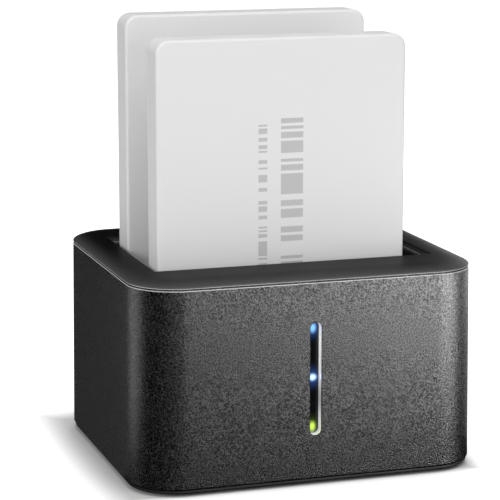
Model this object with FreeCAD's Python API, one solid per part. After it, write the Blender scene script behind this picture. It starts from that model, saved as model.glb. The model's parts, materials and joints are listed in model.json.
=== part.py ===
import FreeCAD, Part
import math
import os

# A docking station that copies one 2.5-inch drive to another, with both drives standing in it.
# Millimetres. X runs left to right, Y from the front wall to the rear wall, and Z up.
# The origin is the middle of the footprint, on the surface that the rubber feet stand on.

V = FreeCAD.Vector
ACROSS = V(1, 0, 0)
BACKWARD = V(0, 1, 0)
UP = V(0, 0, 1)

# ---------------------------------------------------------------- driving dimensions

# Housing
rim_side = 9.3             # from the bay's opening to the shell's outside, left and right
rim_front = 17.2           # the same at the front and the rear
corner_radius = 13.5       # upright corners of the shell and the bezel
wall = 2.4                 # thickness of the shell's walls at their foot; they are upright inside
wall_lean = 0.48           # mould draft: how far a wall leans in between its foot and the seam
foot_stand = 0.8           # how far the rubber feet hold the base cover off the table
lip_height = 0.9           # edge of the base cover that shows below the shell
lip_setback = 0.4          # how far that edge stands in from the shell
lip_bevel = 0.5            # bevel under that edge
shadow_gap = 0.3           # dark line between the base cover's edge and the shell
seam_height = 54.6         # from the underside of the base cover to the seam of the top bezel
seam_gap = 0.4             # width of the groove that runs round at that seam
seam_groove = 1.0          # depth of that groove
seam_break = 0.22          # broken edge on both sides of the groove
crown_rise = 2.0           # from the seam up to the flat top of the bezel
crown_run = 8.0            # how far in the bezel curves before it is flat
crown_steps = 5            # levels of that curve, a quarter of an ellipse
rim_thickness = 2.4        # bezel plate beside the opening
rim_round = 0.35           # rounded edge of the opening
tongue_depth = 2.2         # locating tongue of the bezel, inside the shell
tongue_thickness = 1.2
tongue_fit = 0.15          # clearance from that tongue to the shell
base_floor = 2.2           # floor of the base cover
base_rib = 3.0             # locating ribs on that floor, one along each wall
base_rib_wall = 1.4
base_fit = 0.15            # clearance from those ribs to the shell

# Drive bay
side_gap = 1.1             # opening's left edge to the drives
finger_room = 7.65         # drives to the opening's right edge
front_gap = 1.0            # opening's front edge to the front drive
rear_room = 9.9            # rear drive to the opening's rear edge
bay_setback = 0.3          # the liner's walls stand this far outside the opening
liner_wall = 1.6
liner_floor = 1.6
cradle_height = 9.0        # low frame that holds a drive's foot upright
cradle_wall = 1.4
cradle_fit = 0.4           # clearance from that frame to the drive
cradle_flare = 0.6         # lead-in at the frame's mouth
ear_width = 9.0            # fixing ears on the liner's front and rear walls
ear_reach = 8.0
ear_thickness = 1.8
ear_drop = 4.0             # length of the bezel's posts that the ears are screwed to
ear_spread = 30.0          # from the middle to each ear, along X
rib_count = 3              # stiffening ribs on the liner's left and right walls
rib_pitch = 15.0
rib_reach = 1.6
rib_thickness = 1.4        # of these ribs and of the shell's ribs beside the light board

# Drives: the 2.5-inch standard outline
drive_width = 69.85
drive_height = 100.45
drive_thickness = 9.5
drive_corner = 3.6
drive_edge = 0.8           # rounding round a drive's front face
drive_edge_steps = 3       # levels of that rounding
drive_bevel = 0.4          # bevel round its back
drive_wall = 1.3
drive_rim = 1.5            # edge of the case that the back cover is let into
drive_cover = 1.2
drive_cover_fit = 0.1
drive_pitch = 31.2         # from the front drive's face to the rear drive's face
drive_stand = 16.85        # foot of the front drive above the underside of the base cover
rear_step = 4.1            # the rear drive stands this much higher
rest_gap = 0.2             # from a standing drive's foot down to the bay floor
post_inset = 6.5           # screw posts, from the case's sides
post_radius = 2.6
drive_screw_length = 5.0
drive_board_thickness = 1.0
drive_board_length = 58.0
drive_chip_width = 14.0
drive_chip_thickness = 1.2
drive_chip_pitch = 20.0    # between the two columns of chips
drive_chip_rows = (15.0, 41.0)    # middles of the rows, above the board's foot

# Sockets and plugs: 22-way, two L-keyed tongues
plug_width = 43.0
plug_thickness = 5.4
plug_offset = -9.0         # middle of the plug from the middle of the drive
plug_back = 4.4            # middle of the plug from the drive's back
plug_height = 4.2
plug_fit = 0.5             # clearance round a socket in the drive's recess and the bay floor
socket_reach = 4.4         # how far a socket stands up into the drive
socket_stop = 0.3          # from a socket's top to the plug above it
tongue_bar = 1.2           # thickness of a plug's tongue
tongue_key = 1.2           # how far the key stands out from the tongue
tongue_slack = 0.22        # clearance of a tongue in its slot
signal_start = -16.9       # left ends and lengths of the tongues, from the plug's middle
signal_length = 10.4
power_start = -3.7
power_length = 20.6
contact_pitch = 1.27
contact_width = 0.5
contact_thickness = 0.12
contact_height = 2.6
socket_foot = 2.5          # flange of a socket on the board
socket_foot_reach = 1.0

# Boards
standoff_height = 3.4
standoff_radius = 3.0
standoff_inset_x = 15.6    # standoffs from the shell's outside
standoff_inset_y = 14.0
standoff_base = 0.4        # how far a standoff's hole goes into the floor
board_thickness = 1.6
board_gap = 0.5            # from the main board to the shell
board_margin = 6.0         # from the standoffs to the main board's left and right edges
board_ahead = 1.3          # main board's front edge, ahead of the light board

# Parts on the main board, as (width, depth, height). Their places are (x, y) from the middle
# between the two sockets, apart from the coils, which stand behind the rear socket.
bridge_size = (12.0, 12.0, 1.0)
bridge_place = (-14.0, 1.0)
memory_size = (6.0, 5.0, 1.2)
memory_place = (1.0, -0.5)
crystal_size = (5.0, 2.6, 1.4)
crystal_place = (-24.5, 1.0)
regulator_size = (5.0, 4.0, 1.1)
regulator_places = [(12.0, -2.0), (20.0, -2.0), (12.0, 5.6)]
capacitor_radius = 3.1
capacitor_height = 5.8
capacitor_base = 0.6       # square foot under each can
capacitor_places = [(29.0, -2.6), (29.0, 5.6), (20.0, 5.6)]
coil_size = (7.0, 7.0, 3.0)
coil_places = [-34.0, -12.0]
coil_gap = 2.3             # from the rear socket

# Screws
screw_radius = 1.25
screw_pilot = 0.05         # clearance of a screw in the plastic it cuts into
screw_hole = 0.25          # clearance of a screw in the piece it clamps
head_radius = 2.5
head_height = 1.5
head_clearance = 0.25
base_head = 1.1            # flatter head of the screws under the base
cross_reach = 0.6          # arms of the cross in a base screw, as a share of the head's radius
cross_width = 0.6
cross_depth = 0.7
boss_radius = 3.2
boss_bite = 1.2            # how far a corner boss grows out of the shell's wall
boss_height = 16.0
pilot_spare = 1.0          # how much deeper a pilot hole is than its screw
base_screw_length = 13.0

# Feet
foot_radius = 5.0
foot_thickness = 2.0
foot_inset_x = 15.0        # foot centres from the shell's outside
foot_inset_y = 13.5
foot_fit = 0.1

# Floor vents
vent_count = 7
vent_pitch = 4.5
vent_width = 1.8
vent_length = 15.0
vent_row = 11.0            # middle of each row from the middle of the floor

# Light slot in the front wall
slot_width = 3.16
slot_height = 30.72
slot_middle = 28.26        # above the underside of the base cover
slot_depth = 3.1           # front wall to the window
trim_wall = 0.5
trim_fit = 0.1
trim_inset = 0.1           # front edge of the trim behind the wall's face
trim_flange = 1.6
trim_flange_thickness = 1.2
window_ledge = 0.22        # how far the window reaches behind the trim's edge
window_thickness = 1.0
guide_gap = 0.1
guide_thickness = 1.5
guide_post_width = 1.8
guide_post_length = 0.9
led_pitch = 13.5
led_width = 1.6
led_height = 2.0
led_thickness = 0.8
led_gap = 0.2
led_board_width = 8.0
led_board_thickness = 1.0
led_board_top = 2.0        # above the slot's end
rib_fit = 0.2
header_height = 2.5
header_width = 7.0

# Rear connectors and buttons
mouth_recess = 0.9         # mouths of the sockets behind the rear wall's face
rear_fit = 0.25            # clearance of what comes through the rear wall
usb_x = -6.0
usb_width = 8.94
usb_height = 3.26
usb_round = 1.6
usb_length = 7.3
usb_sheet = 0.3
usb_tongue_width = 6.7
usb_tongue_thickness = 0.7
usb_tongue_length = 4.6
dc_x = -23.0
dc_width = 9.0
dc_height = 11.0
dc_length = 13.5
dc_axis = 6.5              # above the board
dc_collar = 4.0
dc_bore = 3.1
dc_bore_depth = 10.0
dc_pin_radius = 1.0
dc_pin_length = 9.0
button_axis = 5.0          # above the board
button_recess = 0.3        # faces of the buttons behind the rear wall's face
button_flange = 1.1        # how far a button's flange reaches behind the wall
button_flange_thickness = 0.8
button_flange_gap = 0.2
power_x = 9.0
power_radius = 3.5
power_travel = 1.6
clone_x = 24.0
clone_width = 9.0
clone_height = 5.0
clone_round = 1.6
clone_travel = 0.6
plunger_radius = 1.5
plunger_fit = 0.06
plunger_seat = 2.6         # how far a plunger sits in its switch when it is not pressed
plunger_clear = 0.3        # room left under a plunger that is pressed home
plunger_show = 1.2         # how far it stands out of the switch beyond the button's travel
power_switch_size = (8.0, 7.0, 8.5)
clone_switch_size = (6.0, 4.5, 7.6)

# ---------------------------------------------------------------- levels and places

bay_width = side_gap + drive_width + finger_room
bay_depth = front_gap + drive_pitch + drive_thickness + rear_room
body_width = bay_width + 2 * rim_side
body_depth = bay_depth + 2 * rim_front

base_z = foot_stand
lip_top = base_z + lip_height
shell_foot = lip_top + shadow_gap
seam_z = base_z + seam_height
shell_top = seam_z - seam_gap / 2
bezel_foot = seam_z + seam_gap / 2
rim_top = seam_z + crown_rise
rim_under = rim_top - rim_thickness
floor_top = base_z + base_floor
board_under = floor_top + standoff_height
board_top = board_under + board_thickness
ear_top = rim_under - ear_drop

front_foot_z = base_z + drive_stand
rear_foot_z = front_foot_z + rear_step
drive_left = side_gap - bay_width / 2
drive_right = drive_left + drive_width
drive_middle = (drive_left + drive_right) / 2
front_face_y = front_gap - bay_depth / 2
rear_face_y = front_face_y + drive_pitch
step_y = (front_face_y + drive_thickness + rear_face_y) / 2
plug_x = drive_middle + plug_offset
front_plug_y = front_face_y + drive_thickness - plug_back
rear_plug_y = rear_face_y + drive_thickness - plug_back
board_middle_y = (front_plug_y + rear_plug_y) / 2

liner_x = bay_width / 2 + bay_setback
liner_y = bay_depth / 2 + bay_setback

slot_z = base_z + slot_middle
axis_z = board_top + button_axis


def wall_y(z, depth_in=0.0):
    """Distance from the middle to the front or rear wall's face at height z, less a depth."""
    lean = wall_lean * (z - shell_foot) / (shell_top - shell_foot)
    return body_depth / 2 - lean - depth_in


window_y = slot_depth - wall_y(slot_z)
guide_y = window_y + window_thickness + guide_gap
led_y = guide_y + guide_thickness + guide_post_length + led_gap
led_board_y = led_y + led_thickness
inside_y = body_depth / 2 - wall
board_rear = inside_y - board_gap
standoff_x = body_width / 2 - standoff_inset_x
standoff_y = body_depth / 2 - standoff_inset_y

# ---------------------------------------------------------------- shape helpers


def box(x0, x1, y0, y1, z0, z1):
    return Part.makeBox(x1 - x0, y1 - y0, z1 - z0, V(x0, y0, z0))


def rounded_wire(half_x, half_y, radius, z=0.0):
    """Rounded rectangle about the Z axis; it starts in the middle of its right side."""
    turn = math.sqrt(0.5)
    corners = [(1, 1), (-1, 1), (-1, -1), (1, -1)]
    here = V(half_x, 0, z)
    edges = []
    for index, (sx, sy) in enumerate(corners):
        centre = V(sx * (half_x - radius), sy * (half_y - radius), z)
        along_x = centre + V(sx * radius, 0, 0)
        along_y = centre + V(0, sy * radius, 0)
        middle = centre + V(sx * radius * turn, sy * radius * turn, 0)
        first, last = (along_x, along_y) if index % 2 == 0 else (along_y, along_x)
        if here.distanceToPoint(first) > 1e-6:
            edges.append(Part.LineSegment(here, first).toShape())
        edges.append(Part.Arc(first, middle, last).toShape())
        here = last
    edges.append(Part.LineSegment(here, V(half_x, 0, z)).toShape())
    return Part.Wire(edges)


def rounded_slab(half_x, half_y, radius, z0, z1):
    face = Part.Face(rounded_wire(half_x, half_y, radius, z0))
    return face.extrude(V(0, 0, z1 - z0))


def standing_slab(half_x, half_z, radius, x, z, y0, y1):
    """A rounded slab that stands facing the front, from y0 back to y1."""
    slab = rounded_slab(half_x, half_z, radius, 0, y1 - y0)
    slab.rotate(V(0, 0, 0), ACROSS, 90)
    slab.translate(V(x, y1, z))
    return slab


def pill(width, height, x, z, y0, y1):
    """An upright slot shape with round ends, from y0 back to y1."""
    radius = width / 2
    straight = height / 2 - radius
    shape = box(x - radius, x + radius, y0, y1, z - straight, z + straight)
    for end in (-straight, straight):
        shape = shape.fuse(rod(radius, x, z + end, y0, y1))
    return shape.removeSplitter()


def rod(radius, x, z, y0, y1):
    """A round bar along Y."""
    return Part.makeCylinder(radius, y1 - y0, V(x, y0, z), BACKWARD)


def post(radius, x, y, z0, z1):
    """A round bar along Z."""
    return Part.makeCylinder(radius, z1 - z0, V(x, y, z0), UP)


def fused(shapes):
    whole = shapes[0]
    for shape in shapes[1:]:
        whole = whole.fuse(shape)
    return whole.removeSplitter()


def stud(radius, x, y, z0, z1):
    """An eight-sided bar along Z with its flats at radius, for shanks, pilots and hidden posts."""
    reach = radius / math.cos(math.pi / 8)
    turns = [math.pi / 4 * (index + 0.5) for index in range(8)]
    corners = [V(x + reach * math.cos(turn), y + reach * math.sin(turn), z0) for turn in turns]
    return Part.Face(Part.makePolygon(corners + corners[:1])).extrude(V(0, 0, z1 - z0))


def standing_stud(radius, x, z, y0, y1):
    """The same bar along Y."""
    bar = stud(radius, 0, 0, 0, y1 - y0)
    bar.rotate(V(0, 0, 0), ACROSS, 90)
    bar.translate(V(x, y1, z))
    return bar


def block(size, x, y):
    """A part of (width, depth, height) on the main board, about x and y."""
    width, depth, height = size
    return box(x - width / 2, x + width / 2, y - depth / 2, y + depth / 2, board_top, board_top + height)


def quarter_curve(rise, run, steps):
    """Points (height, inset) up a quarter of an ellipse, from upright to level."""
    turns = [math.pi / 2 * step / steps for step in range(steps + 1)]
    return [(rise * math.sin(turn), run * (1 - math.cos(turn))) for turn in turns]


def housing(sections):
    """A straight-sided solid through outlines of the housing, each (height, inset, lean).

    Both move the walls in. An inset also tightens the corners, and a lean keeps their radius."""
    outlines = []
    for z, inset, lean in sections:
        outlines.append(rounded_wire(body_width / 2 - inset - lean, body_depth / 2 - inset - lean,
                                     corner_radius - inset, z))
    return Part.makeLoft(outlines, True, True)


def flare(x0, x1, y0, y1, z, grow):
    """A lead-in: a rectangle that widens by grow over the same height, up to z."""
    rings = []
    for level, spread in ((z - grow, 0.0), (z, grow)):
        corners = [V(x0 - spread, y0 - spread, level), V(x1 + spread, y0 - spread, level),
                   V(x1 + spread, y1 + spread, level), V(x0 - spread, y1 + spread, level)]
        rings.append(Part.makePolygon(corners + corners[:1]))
    return Part.makeLoft(rings, True, True)


def screw(x, y, z, direction, length, head):
    """A screw: the head's underside is at z, and the thread runs in direction."""
    low, high = sorted((z, z + direction * length))
    head_low, head_high = sorted((z, z - direction * head))
    return stud(screw_radius, x, y, low, high).fuse(stud(head_radius, x, y, head_low, head_high))


def cross_recess(x, y, z0):
    """The cross in the face of a screw that is driven from below."""
    reach = head_radius * cross_reach
    bars = [box(x - half_x, x + half_x, y - half_y, y + half_y, z0, z0 + cross_depth)
            for half_x, half_y in ((reach, cross_width / 2), (cross_width / 2, reach))]
    return fused(bars)


def four_corners(x, y):
    return [(sx * x, sy * y) for sx in (-1, 1) for sy in (-1, 1)]


boss_step = (corner_radius - wall - boss_radius + boss_bite) * math.sqrt(0.5)
boss_places = four_corners(body_width / 2 - corner_radius + boss_step,
                           body_depth / 2 - corner_radius + boss_step)
foot_places = four_corners(body_width / 2 - foot_inset_x, body_depth / 2 - foot_inset_y)
standoff_places = four_corners(standoff_x, standoff_y)
ear_places = four_corners(ear_spread, liner_y + liner_wall + ear_reach / 2)

# ---------------------------------------------------------------- housing


def body_shell():
    """Textured sleeve: four leaning walls, open above and below."""
    lean = wall_lean
    sleeve = housing([(shell_foot, seam_break, 0), (shell_foot + seam_break, 0, 0),
                      (shell_top - seam_break, 0, lean), (shell_top, seam_break, lean)])
    spigot = housing([(shell_top, seam_groove, lean), (bezel_foot, seam_groove, lean)])
    hollow = housing([(shell_foot, wall, 0), (bezel_foot, wall, 0)])
    pieces = [sleeve.fuse(spigot).cut(hollow)]
    pieces += [stud(boss_radius, x, y, floor_top, floor_top + boss_height) for x, y in boss_places]
    rib_x = led_board_width / 2 + rib_fit
    rib_low = board_top + header_height
    rib_high = slot_z + slot_height / 2
    rib_front = -wall_y(rib_high, wall / 2)
    for side in (-1, 1):
        near, far = sorted((side * rib_x, side * (rib_x + rib_thickness)))
        pieces.append(box(near, far, rib_front, led_board_y + led_board_thickness, rib_low, rib_high))
    outside = body_depth
    grow = 2 * (trim_wall + trim_fit)
    cuts = [stud(screw_radius + screw_pilot, x, y, floor_top, base_z + base_screw_length + pilot_spare)
            for x, y in boss_places]
    cuts.append(pill(slot_width + grow, slot_height + grow, 0, slot_z, -outside, led_board_y))
    return fused(pieces).cut(Part.makeCompound(cuts + rear_holes(outside)))


def rear_holes(outside):
    """Cut-outs in the rear wall for the two sockets and the two buttons."""
    inside = inside_y - wall
    usb = standing_slab(usb_width / 2 + rear_fit, usb_height / 2 + rear_fit, usb_round,
                        usb_x, board_top + usb_height / 2, inside, outside)
    dc = rod(dc_collar + rear_fit, dc_x, board_top + dc_axis, inside, outside)
    power = rod(power_radius + rear_fit, power_x, axis_z, inside, outside)
    clone = standing_slab(clone_width / 2 + rear_fit, clone_height / 2 + rear_fit, clone_round + rear_fit,
                          clone_x, axis_z, inside, outside)
    return [usb, dc, power, clone]


def top_bezel():
    """Smooth crowned rim with a rectangular opening, held by a tongue inside the shell."""
    lean = wall_lean
    crown_foot = bezel_foot + seam_break
    curve = quarter_curve(rim_top - crown_foot, crown_run, crown_steps)
    crown = housing([(bezel_foot, seam_break, lean)] + [(crown_foot + z, inset, lean) for z, inset in curve])
    tongue_foot = bezel_foot - tongue_depth
    outer = wall + tongue_fit
    inner = outer + tongue_thickness
    tongue = housing([(tongue_foot, outer, 0), (bezel_foot, outer, 0)])
    hollow = housing([(tongue_foot, inner, 0), (rim_under, inner, 0)])
    bezel = crown.fuse(tongue).cut(hollow)
    half_x, half_y = bay_width / 2, bay_depth / 2
    posts = [box(x - boss_radius, x + boss_radius, y - boss_radius, y + boss_radius, ear_top, rim_under)
             for x, y in ear_places]
    cuts = [box(-half_x, half_x, -half_y, half_y, ear_top, rim_top)]
    cuts += [stud(screw_radius + screw_pilot, x, y, ear_top, rim_under + pilot_spare) for x, y in ear_places]
    bezel = fused([bezel] + posts).cut(Part.makeCompound(cuts))
    return bezel.makeFillet(rim_round, [edge for edge in bezel.Edges if on_opening_edge(edge)])


def on_opening_edge(edge):
    """True for the four upper edges of the bezel's opening."""
    bounds = edge.BoundBox
    level = abs(bounds.ZMin - rim_top) < 1e-4 and abs(bounds.ZMax - rim_top) < 1e-4
    inside = max(abs(bounds.XMin), abs(bounds.XMax)) < bay_width / 2 + 1e-3
    return level and inside and max(abs(bounds.YMin), abs(bounds.YMax)) < bay_depth / 2 + 1e-3


def cradle(face_y, floor_z):
    """Low frame round a drive's foot, with a lead-in at its mouth; returns frame and hollow."""
    x0, x1 = drive_left - cradle_fit, drive_right + cradle_fit
    y0, y1 = face_y - cradle_fit, face_y + drive_thickness + cradle_fit
    top = floor_z + cradle_height
    frame = box(x0 - cradle_wall, x1 + cradle_wall, y0 - cradle_wall, y1 + cradle_wall, floor_z, top)
    hollow = box(x0, x1, y0, y1, floor_z, top).fuse(flare(x0, x1, y0, y1, top, cradle_flare))
    return frame, hollow


def bay_liner():
    """The drive bay: a tub with a stepped floor, a cradle for each drive and socket windows."""
    out_x, out_y = liner_x + liner_wall, liner_y + liner_wall
    front_floor, rear_floor = front_foot_z - rest_gap, rear_foot_z - rest_gap
    tub = box(-out_x, out_x, -out_y, out_y, rear_floor - liner_floor, rim_under)
    tub = tub.fuse(box(-out_x, out_x, -out_y, step_y + liner_wall,
                       front_floor - liner_floor, rear_floor))
    tub = tub.cut(box(-liner_x, liner_x, -liner_y, step_y, front_floor, rim_under))
    tub = tub.cut(box(-liner_x, liner_x, step_y, liner_y, rear_floor, rim_under))
    pieces = [tub]
    hollows = []
    for face_y, floor_z in ((front_face_y, front_floor), (rear_face_y, rear_floor)):
        frame, hollow = cradle(face_y, floor_z)
        pieces.append(frame)
        hollows.append(hollow)
        centre_y = face_y + drive_thickness - plug_back
        half_x, half_y = plug_width / 2 + plug_fit, plug_thickness / 2 + plug_fit
        hollows.append(box(plug_x - half_x, plug_x + half_x, centre_y - half_y, centre_y + half_y,
                           floor_z - liner_floor, floor_z))
    for x, y in ear_places:
        near, far = sorted((math.copysign(out_y, y), y + math.copysign(ear_reach / 2, y)))
        pieces.append(box(x - ear_width / 2, x + ear_width / 2, near, far,
                          ear_top - ear_thickness, ear_top))
        hollows.append(stud(screw_radius + screw_hole, x, y, ear_top - ear_thickness, ear_top))
    for index in range(rib_count):
        y = (index - (rib_count - 1) / 2) * rib_pitch
        pieces.append(box(-out_x - rib_reach, out_x + rib_reach, y - rib_thickness / 2, y + rib_thickness / 2,
                          rear_floor - liner_floor, rear_floor))
        for side in (-1, 1):
            near, far = sorted((side * out_x, side * (out_x + rib_reach)))
            pieces.append(box(near, far, y - rib_thickness / 2, y + rib_thickness / 2,
                              rear_floor - liner_floor, ear_top))
    return fused(pieces).cut(fused(hollows)).removeSplitter()


def base_cover():
    """Floor of the housing: visible lip, locating ribs, standoffs, vents and foot pockets."""
    inside = wall + base_fit
    rib_top = floor_top + base_rib
    lip = housing([(base_z, lip_setback + lip_bevel, 0), (base_z + lip_bevel, lip_setback, 0),
                   (lip_top, lip_setback, 0)])
    floor = housing([(lip_top, inside, 0), (floor_top, inside, 0)])
    pieces = [stud(standoff_radius, x, y, floor_top, board_under) for x, y in standoff_places]
    half_x, half_y = body_width / 2 - corner_radius, body_depth / 2 - corner_radius
    for side in (-1, 1):
        x0, x1 = sorted((side * (body_width / 2 - inside), side * (body_width / 2 - inside - base_rib_wall)))
        y0, y1 = sorted((side * (body_depth / 2 - inside), side * (body_depth / 2 - inside - base_rib_wall)))
        pieces.append(box(x0, x1, -half_y, half_y, floor_top, rib_top))
        pieces.append(box(-half_x, half_x, y0, y1, floor_top, rib_top))
    cover = fused([lip, floor] + pieces)
    cuts = []
    for x, y in standoff_places:
        cuts.append(stud(screw_radius + screw_pilot, x, y, floor_top - standoff_base, board_under))
    for x, y in boss_places:
        cuts.append(stud(boss_radius + head_clearance, x, y, floor_top, rib_top))
        cuts.append(stud(screw_radius + screw_hole, x, y, base_z, floor_top))
        cuts.append(stud(head_radius + head_clearance, x, y, base_z, base_z + base_head))
    for x, y in foot_places:
        cuts.append(post(foot_radius + foot_fit, x, y, base_z, foot_thickness))
    for index in range(vent_count):
        x = (index - (vent_count - 1) / 2) * vent_pitch
        for row in (-vent_row, vent_row):
            cuts.append(box(x - vent_width / 2, x + vent_width / 2, row - vent_length / 2,
                            row + vent_length / 2, base_z, floor_top))
    return cover.cut(Part.makeCompound(cuts))


def rubber_feet():
    return Part.makeCompound([post(foot_radius, x, y, 0, foot_thickness) for x, y in foot_places])


def base_screws():
    """Cross-head screws that reach through the base cover into the shell's bosses."""
    screws = []
    for x, y in boss_places:
        shank = stud(screw_radius, x, y, base_z + base_head, base_z + base_screw_length)
        head = post(head_radius, x, y, base_z, base_z + base_head)
        screws.append(shank.fuse(head).cut(cross_recess(x, y, base_z)))
    return Part.makeCompound(screws)


def liner_screws():
    length = ear_thickness + ear_drop
    screws = [screw(x, y, ear_top - ear_thickness, 1, length, head_height) for x, y in ear_places]
    return Part.makeCompound(screws)


# ---------------------------------------------------------------- boards and sockets


def main_board():
    inset = wall + board_gap
    half = standoff_x + board_margin
    board = housing([(board_under, inset, 0), (board_top, inset, 0)])
    board = board.common(box(-half, half, led_board_y - board_ahead, board_rear, board_under, board_top))
    cuts = [stud(boss_radius + board_gap, x, y, board_under, board_top) for x, y in boss_places]
    cuts += [stud(screw_radius + screw_hole, x, y, board_under, board_top) for x, y in standoff_places]
    return board.cut(Part.makeCompound(cuts))


def board_screws():
    length = board_thickness + standoff_height
    screws = [screw(x, y, board_top, -1, length, head_height) for x, y in standoff_places]
    return Part.makeCompound(screws)


def tongues(centre_y, z0, z1, grow):
    """The two L-keyed tongues of a plug, or with grow the slots that take them."""
    half = tongue_bar / 2 + grow
    bars = []
    for start, length in ((signal_start, signal_length), (power_start, power_length)):
        x0 = plug_x + start - grow
        x1 = plug_x + start + length + grow
        bar = box(x0, x1, centre_y - half, centre_y + half, z0, z1)
        key = box(x0, x0 + tongue_bar + 2 * grow, centre_y - half - tongue_key, centre_y, z0, z1)
        bars.append(bar.fuse(key).removeSplitter())
    return bars


def socket(foot_z, centre_y):
    """Upright 22-way socket on the main board, which reaches up through the bay floor."""
    top = foot_z + socket_reach
    half_x, half_y = plug_width / 2, plug_thickness / 2
    reach = socket_foot_reach
    tower = box(plug_x - half_x, plug_x + half_x, centre_y - half_y, centre_y + half_y, board_top, top)
    foot = box(plug_x - half_x - reach, plug_x + half_x + reach, centre_y - half_y - reach,
               centre_y + half_y + reach, board_top, board_top + socket_foot)
    slots = tongues(centre_y, slot_floor(foot_z), top, tongue_slack)
    return tower.fuse(foot).removeSplitter().cut(Part.makeCompound(slots))


def slot_floor(foot_z):
    """Height of the bottom of a socket's slots."""
    return foot_z + socket_stop


def socket_contacts(foot_z, centre_y):
    """Spring contacts: thin blades on the rear wall of each slot."""
    wall_face = centre_y + tongue_bar / 2 + tongue_slack
    low = slot_floor(foot_z)
    blades = []
    for start, length in ((signal_start, signal_length), (power_start, power_length)):
        first = tongue_bar + contact_width
        count = int((length - first) / contact_pitch)
        for index in range(count):
            x = plug_x + start + first + index * contact_pitch
            blades.append(box(x, x + contact_width, wall_face - contact_thickness, wall_face,
                              low, low + contact_height))
    return Part.makeCompound(blades)


def between_sockets(size, places):
    """Parts of one size on the main board, at places from the middle between the sockets."""
    return Part.makeCompound([block(size, x, board_middle_y + y) for x, y in places])


def capacitors():
    """Round cans, each on a square foot."""
    foot = (2 * capacitor_radius, 2 * capacitor_radius, capacitor_base)
    cans = []
    for x, y in capacitor_places:
        can = stud(capacitor_radius, x, board_middle_y + y, board_top + capacitor_base,
                   board_top + capacitor_height)
        cans.append(block(foot, x, board_middle_y + y).fuse(can).removeSplitter())
    return Part.makeCompound(cans)


def inductors():
    """Coils behind the rear socket."""
    y = rear_plug_y + plug_thickness / 2 + socket_foot_reach + coil_gap + coil_size[1] / 2
    return Part.makeCompound([block(coil_size, x, y) for x in coil_places])


# ---------------------------------------------------------------- front light


def light_trim():
    """Bright liner of the light slot, with a flange behind the front wall and a window seat."""
    back = window_y + window_thickness
    flange_front = back - trim_flange_thickness
    front = -body_depth / 2
    outer = pill(slot_width + 2 * trim_wall, slot_height + 2 * trim_wall, 0, slot_z, front, back)
    reach = trim_wall + trim_flange
    flange = box(-slot_width / 2 - reach, slot_width / 2 + reach, flange_front, back,
                 slot_z - slot_height / 2 - reach, slot_z + slot_height / 2 + reach)
    trim = outer.fuse(flange).removeSplitter()
    trim = trim.cut(pill(slot_width, slot_height, 0, slot_z, front, back))
    trim = trim.cut(pill(slot_width + 2 * window_ledge, slot_height + 2 * window_ledge,
                         0, slot_z, window_y, back))
    half = body_width
    low, high = shell_foot, shell_top
    proud = Part.makePolygon([V(-half, -body_depth, low), V(-half, -wall_y(low, trim_inset), low),
                              V(-half, -wall_y(high, trim_inset), high), V(-half, -body_depth, high),
                              V(-half, -body_depth, low)])
    return trim.cut(Part.Face(proud).extrude(V(2 * half, 0, 0)))


def light_window():
    """Smoked lens at the bottom of the slot."""
    grow = 2 * (window_ledge - 0.02)
    return pill(slot_width + grow, slot_height + grow, 0, slot_z, window_y, window_y + window_thickness)


def light_guide():
    """Milky bar behind the window, with a post towards each light."""
    half = guide_post_width / 2
    back = guide_y + guide_thickness
    pieces = [pill(slot_width, slot_height, 0, slot_z, guide_y, back)]
    for step in (-1, 0, 1):
        z = slot_z + step * led_pitch
        pieces.append(box(-half, half, back, back + guide_post_length, z - half, z + half))
    return fused(pieces)


def status_led(step):
    z = slot_z + step * led_pitch
    return box(-led_width / 2, led_width / 2, led_y, led_board_y, z - led_height / 2, z + led_height / 2)


def led_board():
    half = led_board_width / 2
    top = slot_z + slot_height / 2 + led_board_top
    return box(-half, half, led_board_y, led_board_y + led_board_thickness, board_top, top)


def led_header():
    back = led_board_y + led_board_thickness
    half = header_width / 2
    return box(-half, half, back, back + header_height, board_top, board_top + header_height)


# ---------------------------------------------------------------- rear connectors and buttons


def usb_port():
    """Folded steel shell of the USB socket, closed at the back."""
    z = board_top + usb_height / 2
    mouth = wall_y(z, mouth_recess)
    tube = standing_slab(usb_width / 2, usb_height / 2, usb_round, usb_x, z, mouth - usb_length, mouth)
    hollow = standing_slab(usb_width / 2 - usb_sheet, usb_height / 2 - usb_sheet, usb_round - usb_sheet,
                           usb_x, z, mouth - usb_length + usb_sheet, mouth)
    return tube.cut(hollow)


def usb_tongue():
    z = board_top + usb_height / 2
    back = wall_y(z, mouth_recess) - usb_length + usb_sheet
    half = usb_tongue_width / 2
    return box(usb_x - half, usb_x + half, back, back + usb_tongue_length,
               z - usb_tongue_thickness / 2, z + usb_tongue_thickness / 2)


def dc_jack():
    """Power inlet: a block on the board with a round collar in the rear wall."""
    z = board_top + dc_axis
    mouth = wall_y(z, mouth_recess)
    front = inside_y - rear_fit
    block = box(dc_x - dc_width / 2, dc_x + dc_width / 2, front - dc_length, front,
                board_top, board_top + dc_height)
    collar = rod(dc_collar, dc_x, z, front, mouth)
    bore = rod(dc_bore, dc_x, z, mouth - dc_bore_depth, mouth)
    return fused([block, collar]).cut(bore)


def dc_pin():
    z = board_top + dc_axis
    back = wall_y(z, mouth_recess) - dc_bore_depth
    return rod(dc_pin_radius, dc_x, z, back, back + dc_pin_length)


def switch_face(travel):
    """Y of a switch's front face, which leaves room for the button's stem and travel."""
    flange_back = inside_y - button_flange_gap - button_flange_thickness
    return flange_back - plunger_show - travel


def switch_housing(x, size, travel):
    width, length, height = size
    face = switch_face(travel)
    case = box(x - width / 2, x + width / 2, face - length, face, board_top, board_top + height)
    depth = plunger_seat + travel + plunger_clear
    return case.cut(standing_stud(plunger_radius + plunger_fit, x, axis_z, face - depth, face))


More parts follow.
